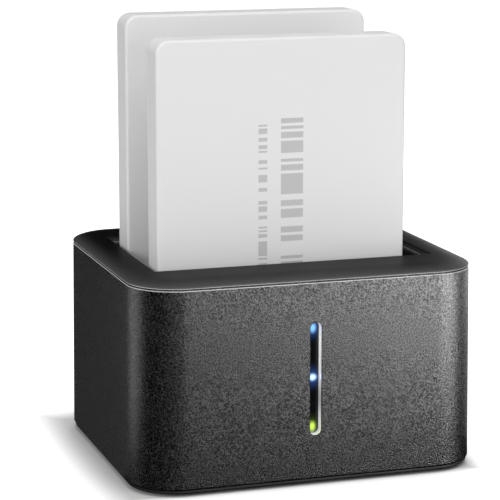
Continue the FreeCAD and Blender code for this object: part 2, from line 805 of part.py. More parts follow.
def switch_plunger(x, travel):
    face = switch_face(travel)
    return standing_stud(plunger_radius, x, axis_z, face - plunger_seat, face + plunger_show + travel)


def power_button():
    face = wall_y(axis_z, button_recess)
    behind = inside_y - button_flange_gap
    cap = rod(power_radius, power_x, axis_z, behind - button_flange_thickness, face)
    flange = standing_stud(power_radius + button_flange, power_x, axis_z,
                           behind - button_flange_thickness, behind)
    return fused([cap, flange])


def clone_button():
    face = wall_y(axis_z, button_recess)
    behind = inside_y - button_flange_gap
    cap = standing_slab(clone_width / 2, clone_height / 2, clone_round,
                        clone_x, axis_z, behind - button_flange_thickness, face)
    half_x, half_z = clone_width / 2 + button_flange, clone_height / 2 + button_flange
    flange = box(clone_x - half_x, clone_x + half_x, behind - button_flange_thickness, behind,
                 axis_z - half_z, axis_z + half_z)
    return fused([cap, flange])


# ---------------------------------------------------------------- drives


def drive_solid(foot_z, sections):
    """A solid through outlines of a drive, each (y, inset), from the front to the back."""
    outlines = []
    for y, inset in sections:
        outline = rounded_wire(drive_width / 2 - inset, drive_height / 2 - inset, drive_corner - inset)
        outline.rotate(V(0, 0, 0), ACROSS, 90)
        outline.translate(V(drive_middle, y, foot_z + drive_height / 2))
        outlines.append(outline)
    return Part.makeLoft(outlines, True, True)


def drive_posts(foot_z):
    """Places of the four screw posts in a drive's case, as (x, z)."""
    half_z = drive_height / 2 - post_inset
    low = foot_z + socket_reach + socket_stop + plug_height + post_radius
    high = foot_z + drive_height / 2 + half_z
    return [(drive_middle + side * (drive_width / 2 - post_inset), z)
            for side in (-1, 1) for z in (low, high)]


def drive_case(foot_z, face_y):
    """Smooth tray with rounded edges, open at the back, with a recess over the socket."""
    back = face_y + drive_thickness
    edge = [(face_y + drive_edge - depth, inset)
            for depth, inset in reversed(quarter_curve(drive_edge, drive_edge, drive_edge_steps))]
    case = drive_solid(foot_z, edge + [(back - drive_bevel, 0), (back, drive_bevel)])
    case = case.cut(drive_solid(foot_z, [(face_y + drive_wall, drive_rim), (back, drive_rim)]))
    inner = back - drive_cover
    posts = [standing_stud(post_radius, x, z, face_y + drive_wall, inner) for x, z in drive_posts(foot_z)]
    case = fused([case] + posts)
    cuts = [standing_stud(screw_radius + screw_pilot, x, z, inner - drive_screw_length, inner)
            for x, z in drive_posts(foot_z)]
    centre_y = back - plug_back
    half_x, half_y = plug_width / 2 + plug_fit, plug_thickness / 2 + plug_fit
    cuts.append(box(plug_x - half_x, plug_x + half_x, centre_y - half_y, centre_y + half_y,
                    foot_z, foot_z + drive_rim))
    return case.cut(Part.makeCompound(cuts))


def drive_back(foot_z, face_y):
    back = face_y + drive_thickness
    inset = drive_rim + drive_cover_fit
    plate = drive_solid(foot_z, [(back - drive_cover, inset), (back, inset)])
    holes = [standing_stud(screw_radius + screw_hole, x, z, back - drive_cover, back)
             for x, z in drive_posts(foot_z)]
    return plate.cut(Part.makeCompound(holes))


def drive_screws(foot_z, face_y):
    """Flat headless screws, flush with the drive's back."""
    back = face_y + drive_thickness
    pins = [standing_stud(screw_radius, x, z, back - drive_screw_length, back)
            for x, z in drive_posts(foot_z)]
    return Part.makeCompound(pins)


def drive_plug(foot_z, face_y):
    """22-way plug: a block over the recess, with two keyed tongues that point down."""
    centre_y = face_y + drive_thickness - plug_back
    under = foot_z + socket_reach + socket_stop
    half_x, half_y = plug_width / 2, plug_thickness / 2
    block = box(plug_x - half_x, plug_x + half_x, centre_y - half_y, centre_y + half_y,
                under, under + plug_height)
    return fused([block] + tongues(centre_y, slot_floor(foot_z) + socket_stop, under, 0.0))


def drive_board_foot(foot_z):
    """Height at which a drive's board stands on its plug."""
    return foot_z + socket_reach + socket_stop + plug_height


def drive_board(foot_z, face_y):
    front = face_y + drive_thickness - plug_back
    low = drive_board_foot(foot_z)
    half = drive_width / 2 - post_inset - post_radius - board_gap
    return box(drive_middle - half, drive_middle + half, front, front + drive_board_thickness,
               low, low + drive_board_length)


def drive_chips(foot_z, face_y):
    back = face_y + drive_thickness - plug_back
    half = drive_chip_width / 2
    chips = []
    for side in (-1, 1):
        x = drive_middle + side * drive_chip_pitch / 2
        for row in drive_chip_rows:
            z = drive_board_foot(foot_z) + row
            chips.append(box(x - half, x + half, back - drive_chip_thickness, back, z - half, z + half))
    return Part.makeCompound(chips)


# ---------------------------------------------------------------- the whole object

nodes = {
    "body_shell": body_shell(),
    "top_bezel": top_bezel(),
    "bay_liner": bay_liner(),
    "base_cover": base_cover(),
    "rubber_feet": rubber_feet(),
    "base_screws": base_screws(),
    "liner_screws": liner_screws(),
    "main_board": main_board(),
    "board_screws": board_screws(),
    "front_socket": socket(front_foot_z, front_plug_y),
    "rear_socket": socket(rear_foot_z, rear_plug_y),
    "front_socket_contacts": socket_contacts(front_foot_z, front_plug_y),
    "rear_socket_contacts": socket_contacts(rear_foot_z, rear_plug_y),
    "bridge_chip": between_sockets(bridge_size, [bridge_place]),
    "memory_chip": between_sockets(memory_size, [memory_place]),
    "crystal": between_sockets(crystal_size, [crystal_place]),
    "regulators": between_sockets(regulator_size, regulator_places),
    "capacitors": capacitors(),
    "inductors": inductors(),
    "light_trim": light_trim(),
    "light_window": light_window(),
    "light_guide": light_guide(),
    "upper_led": status_led(1),
    "middle_led": status_led(0),
    "lower_led": status_led(-1),
    "led_board": led_board(),
    "led_header": led_header(),
    "usb_port": usb_port(),
    "usb_tongue": usb_tongue(),
    "dc_jack": dc_jack(),
    "dc_pin": dc_pin(),
    "power_switch": switch_housing(power_x, power_switch_size, power_travel),
    "power_plunger": switch_plunger(power_x, power_travel),
    "power_button": power_button(),
    "clone_switch": switch_housing(clone_x, clone_switch_size, clone_travel),
    "clone_plunger": switch_plunger(clone_x, clone_travel),
    "clone_button": clone_button(),
}
for place, foot_z, face_y in (("front", front_foot_z, front_face_y), ("rear", rear_foot_z, rear_face_y)):
    nodes[place + "_drive_case"] = drive_case(foot_z, face_y)
    nodes[place + "_drive_back"] = drive_back(foot_z, face_y)
    nodes[place + "_drive_screws"] = drive_screws(foot_z, face_y)
    nodes[place + "_drive_plug"] = drive_plug(foot_z, face_y)
    nodes[place + "_drive_board"] = drive_board(foot_z, face_y)
    nodes[place + "_drive_chips"] = drive_chips(foot_z, face_y)

os.makedirs("parts", exist_ok=True)
for name, shape in nodes.items():
    shape.exportStep(os.path.join("parts", name + ".step"))
    print(name, len(shape.Solids), "solid(s),", round(shape.Volume, 1), "mm3")
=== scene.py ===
# %% [markdown]
# # A desktop station that copies one drive to another
#
# The real thing is a moulded box: a grained charcoal sleeve, a smooth crowned rim that drops into it, and
# an open bay in which two white drives stand. The construction comes packed, as a fixed frame of solids.
# This lesson dresses that frame. It models the surfaces that a hand or an eye meets, and gives each one
# the finish of its real material.

# %% Load the frame
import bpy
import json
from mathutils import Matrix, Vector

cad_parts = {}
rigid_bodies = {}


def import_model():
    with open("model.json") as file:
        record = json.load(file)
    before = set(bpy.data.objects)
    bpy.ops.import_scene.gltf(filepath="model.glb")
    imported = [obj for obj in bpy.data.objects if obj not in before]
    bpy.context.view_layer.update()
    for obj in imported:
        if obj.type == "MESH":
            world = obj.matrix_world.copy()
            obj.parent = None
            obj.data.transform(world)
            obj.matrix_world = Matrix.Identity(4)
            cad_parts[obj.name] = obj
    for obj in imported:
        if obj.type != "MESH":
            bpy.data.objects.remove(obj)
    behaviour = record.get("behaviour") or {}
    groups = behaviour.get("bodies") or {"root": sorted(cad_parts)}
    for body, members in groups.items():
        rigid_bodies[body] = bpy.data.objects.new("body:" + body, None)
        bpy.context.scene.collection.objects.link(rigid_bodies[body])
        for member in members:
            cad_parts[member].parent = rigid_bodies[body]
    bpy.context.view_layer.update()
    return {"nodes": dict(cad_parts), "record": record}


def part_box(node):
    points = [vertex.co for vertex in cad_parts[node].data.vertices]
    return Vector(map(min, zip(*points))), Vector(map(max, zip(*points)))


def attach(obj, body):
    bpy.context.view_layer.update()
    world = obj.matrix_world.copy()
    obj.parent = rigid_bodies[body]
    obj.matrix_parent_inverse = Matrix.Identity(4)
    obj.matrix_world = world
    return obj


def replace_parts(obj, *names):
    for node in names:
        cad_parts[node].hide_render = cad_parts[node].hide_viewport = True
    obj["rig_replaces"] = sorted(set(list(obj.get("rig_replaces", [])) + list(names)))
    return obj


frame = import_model()

# %% [markdown]
# Blender counts in metres, while a mould maker thinks in millimetres. So every size that the script gives
# is written as a number of millimetres times MM.

# %% Modules and units
import json
import math

import bmesh
import bpy
from mathutils import Matrix, Vector

MM = 0.001
print("Blender", bpy.app.version_string)

# %% [markdown]
# ## Sizes
#
# Every place comes from the boxes of the imported solids, so the dressed pieces fit them with no measuring
# by eye. Only walls, roundings and gaps, which a box doesn't tell, are given as numbers.

# %% Sizes of the housing
shell_low, shell_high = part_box("body_shell")
bezel_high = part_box("top_bezel")[1]
cover_low, cover_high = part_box("base_cover")
half_width, half_depth = shell_high.x, shell_high.y
corner_radius = 13.5 * MM
lean = half_width - bezel_high.x
wall = 2.4 * MM
seam_gap = 0.4 * MM
seam_depth = 1.0 * MM
seam_round = 0.22 * MM
bezel_foot = shell_high.z
shell_top = bezel_foot - seam_gap
shell_foot = shell_low.z
rim_top = bezel_high.z
rim_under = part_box("bay_liner")[1].z
opening_x, opening_y = 39.3 * MM, 25.8 * MM
print("shell", half_width, half_depth, "seam", shell_top, bezel_foot, "rim", rim_under, rim_top)

# %% [markdown]
# ## Finishes
#
# Plastic is never one flat colour. A moulded housing has a fine spark-eroded grain that scatters light and
# a faint unevenness of gloss from the mould, and here its edges beside the seam are painted lighter as
# highlights. Each finish below is a principled shader whose colour, roughness and bump come from noise on
# object coordinates, so the pattern sits in the piece and has its real scale. Numbers that are the same all
# over are set on the shader itself.

# %% A helper for finishes
WHITE = (1, 1, 1, 1)
finishes = {}


def new_finish(name, color, roughness, **constants):
    """A material with a principled shader; returns its node tree and shader."""
    made = bpy.data.materials.new(name + "_finish")
    made.use_nodes = True
    shader = made.node_tree.nodes["Principled BSDF"]
    shader.inputs["Base Color"].default_value = (*color, 1)
    shader.inputs["Roughness"].default_value = roughness
    for socket, value in constants.items():
        shader.inputs[socket.replace("_", " ")].default_value = value
    finishes[name] = made
    return made.node_tree, shader


def feed(tree, value, socket):
    """Links a node's output to a socket, or sets a number or a colour on it."""
    if isinstance(value, bpy.types.NodeSocket):
        tree.links.new(value, socket)
    elif isinstance(value, (tuple, list)):
        socket.default_value = (*value, 1)
    else:
        socket.default_value = value


# %% [markdown]
# Patterns are built from four steps that every finish below joins in its own way: a noise, a change of its
# range, a run between two colours, and a bump.

# %% Patterns
def noise(tree, scale, detail=3.0, roughness=0.55, stretch=(1, 1, 1)):
    """Noise on object coordinates; scale is in features a metre."""
    place = tree.nodes.new("ShaderNodeTexCoord")
    turn = tree.nodes.new("ShaderNodeMapping")
    turn.inputs["Scale"].default_value = stretch
    pattern = tree.nodes.new("ShaderNodeTexNoise")
    pattern.inputs["Scale"].default_value = scale
    pattern.inputs["Detail"].default_value = detail
    pattern.inputs["Roughness"].default_value = roughness
    tree.links.new(place.outputs["Object"], turn.inputs["Vector"])
    tree.links.new(turn.outputs["Vector"], pattern.inputs["Vector"])
    return pattern.outputs["Fac"]


def spread(tree, source, low, high, start=0.3, end=0.7):
    """Maps a pattern from the range start..end to low..high."""
    mapped = tree.nodes.new("ShaderNodeMapRange")
    mapped.inputs["From Min"].default_value = start
    mapped.inputs["From Max"].default_value = end
    mapped.inputs["To Min"].default_value = low
    mapped.inputs["To Max"].default_value = high
    tree.links.new(source, mapped.inputs["Value"])
    return mapped.outputs["Result"]


def tint(tree, source, dark, light, blend="MIX"):
    """Runs between two colours or outputs as source goes from 0 to 1; ADD puts the second on the first."""
    mixed = tree.nodes.new("ShaderNodeMix")
    mixed.data_type = "RGBA"
    mixed.blend_type = blend
    for value, index in ((source, 0), (dark, 6), (light, 7)):
        feed(tree, value, mixed.inputs[index])
    return mixed.outputs[2]


def emboss(tree, shader, source, depth, strength=1.0, onto=None):
    """Adds a pattern to the shader's relief; depth is in metres."""
    bump = tree.nodes.new("ShaderNodeBump")
    bump.inputs["Distance"].default_value = depth
    bump.inputs["Strength"].default_value = strength
    tree.links.new(source, bump.inputs["Height"])
    if onto is not None:
        tree.links.new(onto, bump.inputs["Normal"])
    tree.links.new(bump.outputs["Normal"], shader.inputs["Normal"])
    return bump.outputs["Normal"]


# %% [markdown]
# ### Masks
#
# Some finishes change along a piece, such as an edge that hands have rubbed or a print on one face. A mask
# says where, as a number from zero to one that is worked out from the coordinates of the point being
# shaded. A painted image would need the piece unwrapped first, and a few sums need nothing.

# %% Masks on object coordinates
def place_of(tree, axis):
    """X, Y or Z of the point being shaded, in metres."""
    point = tree.nodes.new("ShaderNodeTexCoord")
    parts = tree.nodes.new("ShaderNodeSeparateXYZ")
    tree.links.new(point.outputs["Object"], parts.inputs[0])
    return parts.outputs[axis]


def math_node(tree, operation, first, second=0.0):
    """A sum on two values, each a number or a node's output."""
    made = tree.nodes.new("ShaderNodeMath")
    made.operation = operation
    feed(tree, first, made.inputs[0])
    feed(tree, second, made.inputs[1])
    return made.outputs[0]


def ramp(tree, source, start, end):
    """Zero up to start, one from end on."""
    return spread(tree, source, 0.0, 1.0, start, end)


def between(tree, value, low, high):
    """One between two limits, zero elsewhere."""
    return math_node(tree, "MULTIPLY", math_node(tree, "GREATER_THAN", value, low),
                     math_node(tree, "LESS_THAN", value, high))


# %% [markdown]
# ### Moulded plastics
#
# The sleeve comes out of an eroded mould, so its charcoal plastic is covered in fine specks and pits. The
# rim and the drives come out of smooth moulds and have next to none. One helper makes them all. A stronger
# bump alone would make the sleeve look like leather, so its pits are also given a darker mirror tint, as
# if they hardly mirrored the room.

# %% A helper for moulded plastics
EVEN_GLOSS = 0.03
# The colour of the painted highlights on the edges beside the seam.
HIGHLIGHT_PAINT = (0.6, 0.6, 0.605)


def moulded(name, color, roughness, grain=0.0, grain_scale=1900.0, vary=0.12, highlight_mask=None, gloss=EVEN_GLOSS,
            **constants):
    """Plastic with a mould grain that is grain deep, and a speckle of tone that varies by vary.

    gloss is how far the roughness strays, and past EVEN_GLOSS it strays with the grain. highlight_mask
    gives a mask for the edges that are painted lighter, as painted highlights where light catches them.
    """
    tree, shader = new_finish(name, color, roughness, **constants)
    slow = noise(tree, 45.0, 2.0)
    fine = noise(tree, grain_scale, 2.0, 0.65)
    dark = [channel * max(0, 1 - vary) for channel in color]
    light = [channel * (1 + vary) for channel in color]
    tone = tint(tree, spread(tree, fine, 0, 1, 0.5, 0.68), dark, light)
    # Edges in the mask are painted lighter, as highlights where light catches them.
    if highlight_mask:
        tone = tint(tree, highlight_mask(tree), tone, HIGHLIGHT_PAINT)
    tree.links.new(tone, shader.inputs["Base Color"])
    shine = fine if gloss > EVEN_GLOSS else slow
    tree.links.new(spread(tree, shine, roughness - gloss, roughness + gloss), shader.inputs["Roughness"])
    relief = emboss(tree, shader, slow, 0.02 * MM, 0.3)
    if grain:
        emboss(tree, shader, fine, grain, 1.0, relief)
    return tree, shader


# %% [markdown]
# Two edges beside the seam are painted lighter, as painted highlights where light catches them, and the
# outer part of the rim's crown gets a faint painted sheen. Each edge is a narrow band of height, so a mask
# on Z finds it on all four walls at once.

# %% Painted highlights beside the seam
def sleeve_edge_highlight(tree):
    """The painted highlight on the edge of the sleeve, beside the seam."""
    return between(tree, place_of(tree, "Z"), shell_top - 0.2 * MM, shell_top - 0.015 * MM)


def rim_highlight(tree):
    """A painted highlight on the rim's foot beside the seam, and a faint painted sheen on the outer crown.
    """
    crown_sheen = 0.11
    foot = between(tree, place_of(tree, "Z"), bezel_foot + 0.07 * MM, bezel_foot + 0.22 * MM)
    crown = ramp(tree, place_of(tree, "Z"), rim_top - 0.1 * MM, bezel_foot + 0.4 * MM)
    return math_node(tree, "MAXIMUM", foot, math_node(tree, "MULTIPLY", crown, crown_sheen))


# %% Plastics of the station
pit_scale, pit_detail, pit_roughness = 3000.0, 2.0, 0.65
# The sleeve's edge beside the seam gets a painted highlight.
shell_tree, shell_shader = moulded("shell", (0.013, 0.0132, 0.0138), 0.27, grain=0.12 * MM,
                                   grain_scale=pit_scale, vary=2.6, highlight_mask=sleeve_edge_highlight, gloss=0.06,
                                   Specular_IOR_Level=0.85)
pits = spread(shell_tree, noise(shell_tree, pit_scale, pit_detail, pit_roughness), 0, 1, 0.42, 0.60)
mirror_tint = tint(shell_tree, pits, (0.24, 0.24, 0.24), (1, 1, 1))
shell_tree.links.new(mirror_tint, shell_shader.inputs["Specular Tint"])
# The rim's foot and the outer part of its crown get a painted highlight and a faint painted sheen.
moulded("bezel", (0.005, 0.0051, 0.0053), 0.52, grain=0.003 * MM, vary=0.1, highlight_mask=rim_highlight,
        Specular_IOR_Level=0.12)
moulded("liner", (0.003, 0.003, 0.003), 0.6, grain=0.02 * MM, Specular_IOR_Level=0.15)
moulded("base", (0.016, 0.0162, 0.0168), 0.42, grain=0.02 * MM)
moulded("rubber", (0.022, 0.022, 0.022), 0.8, grain=0.04 * MM, grain_scale=900.0)
moulded("socket_plastic", (0.018, 0.018, 0.02), 0.4, grain=0.01 * MM)
moulded("chip", (0.024, 0.024, 0.026), 0.5, grain=0.015 * MM, grain_scale=2500.0)
moulded("button_plastic", (0.045, 0.045, 0.047), 0.34, grain=0.01 * MM)
white_plastic = {"color": (0.76, 0.76, 0.763), "roughness": 0.36, "grain": 0.003 * MM, "vary": 0.006,
                 "Specular_IOR_Level": 0.12}
moulded("drive_white", **white_plastic)
moulded("milky_guide", (0.78, 0.80, 0.83), 0.3, grain=0.003 * MM, vary=0.02,
        Subsurface_Weight=0.3, Subsurface_Scale=0.8 * MM)
print("plastics", list(finishes))

# %% [markdown]
# ### A printed panel
#
# The front drive carries a grey print in two columns. It is made here from plain bars with no meaning:
# the face is divided into thin rows, each row gets a random number, and rows below a limit are printed.
# Masks keep the print inside its two columns and on the front face only.

# %% Printed bars
front_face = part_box("front_drive_case")[0].y
print_foot, print_head = 56.5 * MM, 96.5 * MM
# Each column: its left and right edge, the height of its rows, and the share of them that is printed.
print_columns = ((-3.9 * MM, 2.4 * MM, 0.8 * MM, 0.6), (-10.2 * MM, -7.75 * MM, 0.5 * MM, 0.42))
grey_ink = (0.50, 0.50, 0.505)


def bars(tree, height, share):
    """One in a random share of rows of the given height."""
    row = math_node(tree, "FLOOR", math_node(tree, "DIVIDE", place_of(tree, "Z"), height))
    chance = tree.nodes.new("ShaderNodeTexWhiteNoise")
    chance.noise_dimensions = "1D"
    tree.links.new(row, chance.inputs["W"])
    return math_node(tree, "LESS_THAN", chance.outputs["Value"], share)


tree, shader = moulded("marked_white", **white_plastic)
plain = shader.inputs["Base Color"].links[0].from_socket
in_column = 0.0
for left, right, height, share in print_columns:
    column = math_node(tree, "MULTIPLY", between(tree, place_of(tree, "X"), left, right),
                       bars(tree, height, share))
    in_column = math_node(tree, "MAXIMUM", in_column, column)
upright = between(tree, place_of(tree, "Z"), print_foot, print_head)
face = math_node(tree, "LESS_THAN", place_of(tree, "Y"), front_face + 0.1 * MM)
print_mask = math_node(tree, "MULTIPLY", in_column, math_node(tree, "MULTIPLY", upright, face))
tree.links.new(tint(tree, print_mask, plain, grey_ink), shader.inputs["Base Color"])
print("print", round((print_head - print_foot) / MM, 1), "mm tall in", len(print_columns), "columns")

# %% [markdown]
# ### Metals
#
# Zinc screws and tinned shells carry fine drawing marks along one direction, so their noise is stretched.
# The bright trim is plated plastic, nearly a mirror. Its mouth is painted dark as shade, and deeper in it a
# painted glow of its own, brighter and dimmer in a slow ripple up the slot, stands for the light that it
# gathers.

# %% Metals
def metal(name, color, roughness, stretch=(1, 1, 1), relief=0.003 * MM):
    """Metal with drawing marks, longest along the axis that stretch makes smallest."""
    tree, shader = new_finish(name, color, roughness, Metallic=1.0)
    marks = noise(tree, 900.0, 3.0, 0.6, stretch)
    tree.links.new(spread(tree, marks, roughness * 0.75, roughness * 1.3), shader.inputs["Roughness"])
    dark = [channel * 0.9 for channel in color]
    tree.links.new(tint(tree, spread(tree, marks, 0, 1), dark, color), shader.inputs["Base Color"])
    emboss(tree, shader, marks, relief, 0.5)
    return tree, shader


metal("screw_steel", (0.55, 0.56, 0.58), 0.3, (1, 1, 0.2))
metal("connector_steel", (0.66, 0.66, 0.68), 0.22, (0.15, 1, 1))
metal("contact_gold", (0.86, 0.62, 0.24), 0.2)
plating, painted_mouth_shade = (0.86, 0.87, 0.88), (0.02, 0.02, 0.02)
tree, shader = metal("bright_trim", plating, 0.22, (1, 1, 0.3), 0.0006 * MM)
shader.inputs["Emission Color"].default_value = WHITE
# The glow is painted: an emission that stands for light gathered up the slot, in a slow ripple, and the
# mouth is painted dark as shade.
along = spread(tree, noise(tree, 60.0, 1.0, 0.5, (0.05, 0.05, 1)), 0.3, 0.85)
deep = ramp(tree, place_of(tree, "Y"), -half_depth + 0.55 * MM, -half_depth + 0.75 * MM)
tree.links.new(math_node(tree, "MULTIPLY", along, deep), shader.inputs["Emission Strength"])
tree.links.new(tint(tree, deep, painted_mouth_shade, plating), shader.inputs["Base Color"])
print("finishes so far", len(finishes))

# %% [markdown]
# ### Circuit board
#
# Solder mask is a glossy green lacquer over copper. The tracks under it show as a slightly lighter relief,
# for which a brick pattern of thin lines is enough at this size.

# %% Circuit board
tree, shader = new_finish("circuit_board", (0.012, 0.09, 0.035), 0.28, Coat_Weight=0.4)
place = tree.nodes.new("ShaderNodeTexCoord")
tracks = tree.nodes.new("ShaderNodeTexBrick")
tracks.inputs["Scale"].default_value = 260.0
tracks.inputs["Mortar Size"].default_value = 0.035
tracks.inputs["Color1"].default_value = (0.010, 0.075, 0.030, 1)
tracks.inputs["Color2"].default_value = (0.013, 0.095, 0.038, 1)
tracks.inputs["Mortar"].default_value = (0.03, 0.17, 0.07, 1)
tree.links.new(place.outputs["Object"], tracks.inputs["Vector"])
tree.links.new(tracks.outputs["Color"], shader.inputs["Base Color"])
emboss(tree, shader, tracks.outputs["Fac"], 0.02 * MM, 0.6)
track_pitch = tracks.inputs["Row Height"].default_value / tracks.inputs["Scale"].default_value
print("tracks", round(track_pitch / MM, 2), "mm apart")

# %% [markdown]
# ### Smoked window and lights
#
# The window is nearly black until a light behind it is on. Each light shows as a soft spot with a faint
# halo, because the milky guide behind the window scatters it. The spots are worked out from the distance
# to each light's middle, so the finish glows in the right three places and stays black between them.

# %% Places and colours of the lights
slot_low, slot_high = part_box("light_window")
slot_z = (slot_low.z + slot_high.z) / 2
# Each light: its slot, colour and power, how far its core reaches across and up, in millimetres, and the
# colour of its halo.
lights = {
    "upper_led": ("led_blue", (0.22, 0.50, 0.95), 1.3, (1.425, 2.09), (0.02, 0.07, 0.28)),
    "middle_led": ("led_pale_blue", (0.42, 0.62, 1.0), 2.0, (1.71, 1.425), (0.03, 0.08, 0.28)),
    "lower_led": ("led_green", (0.55, 0.80, 0.10), 1.2, (1.425, 2.09), (0.05, 0.10, 0.005)),
}
halo_reach = (3.04, 4.37)
# A spot grows brighter from its reach up to this share of the way in, counted on a squared scale.
core_full, halo_full = 0.45, 0.8
left_shift = 0.17 * MM


def middle_of(node):
    low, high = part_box(node)
    return (low + high) / 2


print("slot", round((slot_high.z - slot_low.z) / MM, 2), "mm tall with", len(lights), "lights")


# %% Smoked window and lights
def spot(tree, middle, reach, full, color):
    """A soft light on the window, dark at its reach and at its full colour in the middle."""
    place = tree.nodes.new("ShaderNodeTexCoord")
    centre = tree.nodes.new("ShaderNodeMapping")
    centre.vector_type = "TEXTURE"
    centre.inputs["Location"].default_value = (middle.x - left_shift, slot_low.y, middle.z)
    centre.inputs["Scale"].default_value = (reach[0] * MM, 1.0, reach[1] * MM)
    tree.links.new(place.outputs["Object"], centre.inputs["Vector"])
    ball = tree.nodes.new("ShaderNodeTexGradient")
    ball.gradient_type = "QUADRATIC_SPHERE"
    tree.links.new(centre.outputs["Vector"], ball.inputs["Vector"])
    return tint(tree, spread(tree, ball.outputs["Fac"], 0, 1, 0.0, full), (0, 0, 0), color)


lens_tree, lens_shader = new_finish("smoked_lens", (0.004, 0.004, 0.005), 0.06, Specular_IOR_Level=0.35,
                                    Emission_Strength=1.0)
lens_tree.links.new(spread(lens_tree, noise(lens_tree, 700.0), 0.05, 0.09), lens_shader.inputs["Roughness"])
glow = (0, 0, 0)
for node, (slot, color, power, reach, halo) in lights.items():
    middle = middle_of(node)
    core = [power * channel for channel in color]
    glow = tint(lens_tree, 1.0, glow, spot(lens_tree, middle, reach, core_full, core), "ADD")
    glow = tint(lens_tree, 1.0, glow, spot(lens_tree, middle, halo_reach, halo_full, halo), "ADD")
    tree, shader = new_finish(slot, color, 0.25, Emission_Strength=power)
    faint = [0.8 * channel for channel in color]
    tree.links.new(tint(tree, noise(tree, 1500.0), faint, color), shader.inputs["Emission Color"])
    print(node, slot, "at height", round(middle.z / MM, 2), "mm")
lens_tree.links.new(glow, lens_shader.inputs["Emission Color"])

# %% [markdown]
# ## From a bmesh to a finished piece
#
# Every modelled piece ends the same way: doubled points are merged, normals are made to point outwards,
# curved faces are smoothed up to a sharp angle, and weighted normals keep the flats flat beside their
# roundings. Then the piece rides on a body of the frame and gets the finish named for its material slot.

# %% A helper that finishes a piece
def finish_piece(bm, name, body, slot, replaced=(), sharp=40, finish=None):
    """Makes the bmesh a piece of the named body; its finish is the slot's, unless one is given."""
    bmesh.ops.remove_doubles(bm, verts=bm.verts, dist=0.002 * MM)
    bmesh.ops.recalc_face_normals(bm, faces=bm.faces)
    mesh = bpy.data.meshes.new(name)
    bm.to_mesh(mesh)
    bm.free()
    mesh.shade_smooth()
    mesh.set_sharp_from_angle(angle=math.radians(sharp))
    mesh.materials.append(finishes[finish or slot])
    piece = bpy.data.objects.new(name, mesh)
    bpy.context.scene.collection.objects.link(piece)
    weighted = piece.modifiers.new("flat_faces", "WEIGHTED_NORMAL")
    weighted.keep_sharp = True
    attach(piece, body)
    if replaced:
        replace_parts(piece, *replaced)
    low, high = piece.bound_box[0], piece.bound_box[6]
    print(name, len(mesh.polygons), "faces, mm:", [round((b - a) / MM, 2) for a, b in zip(low, high)])
    return piece


# %% [markdown]
# ## Levels
#
# The housing, its rim, its base and the drives are all rounded rectangles that change as they rise. One
# way to make them is to start from a level: a one-face grid, scaled, with its four corners rounded by a
# vertex bevel. Bridging each level to the next then makes the walls, and the same number of points on
# every level keeps the faces in clean rows. That way is used here because a rounding is only a few more
# levels, and because it gives crowns and draft as easily as straight walls.

# %% Levels and bridges
CORNER_SEGMENTS = 18


def add_level(bm, half_x, half_y, radius, z, segments):
    """Adds a rounded rectangle at height z, as a loop of edges with no face."""
    corners = bmesh.ops.create_grid(bm, x_segments=1, y_segments=1, size=1.0)["verts"]
    bmesh.ops.scale(bm, vec=(half_x, half_y, 1), verts=corners)
    bmesh.ops.translate(bm, vec=(0, 0, z), verts=corners)
    bmesh.ops.bevel(bm, geom=corners, offset=radius, offset_type="OFFSET", segments=segments,
                    profile=0.5, affect="VERTICES", material=-1)
    face = bm.faces[:][0]
    loop = list(face.edges)
    bmesh.ops.delete(bm, geom=[face], context="FACES_ONLY")
    return loop


def stack(levels, closed=False, segments=CORNER_SEGMENTS):
    """Bridges levels given as (half_x, half_y, radius, z); a closed stack is a ring, an open one is capped.

    The levels are bridged well apart, and only then moved to their heights: levels that share a height
    could otherwise be joined with a twist.
    """
    bm = bmesh.new()
    apart = 10 * MM
    loops = [add_level(bm, *level[:3], apart * index, segments) for index, level in enumerate(levels)]
    rings = [list({vert for edge in loop for vert in edge.verts}) for loop in loops]
    pairs = list(zip(loops, loops[1:]))
    if closed:
        pairs.append((loops[-1], loops[0]))
    for lower, upper in pairs:
        bmesh.ops.bridge_loops(bm, edges=lower + upper)
    if not closed:
        for loop in (loops[0], loops[-1]):
            bmesh.ops.edgeloop_fill(bm, edges=loop)
    bmesh.ops.recalc_face_normals(bm, faces=bm.faces)
    for index, (ring, level) in enumerate(zip(rings, levels)):
        bmesh.ops.translate(bm, vec=(0, 0, level[3] - apart * index), verts=ring)
    return bm


def quarter(steps):
    """Points (sine, 1 - cosine) along a quarter turn."""
    turns = [math.pi / 2 * step / steps for step in range(steps + 1)]
    return [(math.sin(turn), 1 - math.cos(turn)) for turn in turns]


def housing_level(inset, leaning, z):
    """A level of the housing: an inset tightens the corners, and the walls' lean doesn't."""
    return (half_width - inset - leaning, half_depth - inset - leaning, corner_radius - inset, z)


# %% [markdown]
# Holes are cut with Boolean modifiers, as a moulder's side cores would leave them. The helper takes the
# cutting shapes as bmeshes and gives back the carved one.

# %% A helper that cuts holes
def loose_object(bm, name):
    """Makes the bmesh a plain object, not yet a piece."""
    mesh = bpy.data.meshes.new(name)
    bm.to_mesh(mesh)
    bm.free()
    made = bpy.data.objects.new(name, mesh)
    bpy.context.scene.collection.objects.link(made)
    return made


def carve(bm, cutters):
    """Cuts closed shapes out of a closed one."""
    body = loose_object(bm, "to_carve")
    tools = [loose_object(cutter, "cutter") for cutter in cutters]
    for tool in tools:
        cut = body.modifiers.new("cut", "BOOLEAN")
        cut.operation = "DIFFERENCE"
        cut.solver = "EXACT"
        cut.object = tool
    carved = bmesh.new()
    carved.from_object(body, bpy.context.evaluated_depsgraph_get())
    for made in [body] + tools:
        bpy.data.objects.remove(made)
    return carved


# %% [markdown]
# The cutting shapes are a box, a round bar that stands, and one that lies from front to back. A rounded
# slab is a stack of two levels, tipped over by the same turn as the lying bar.

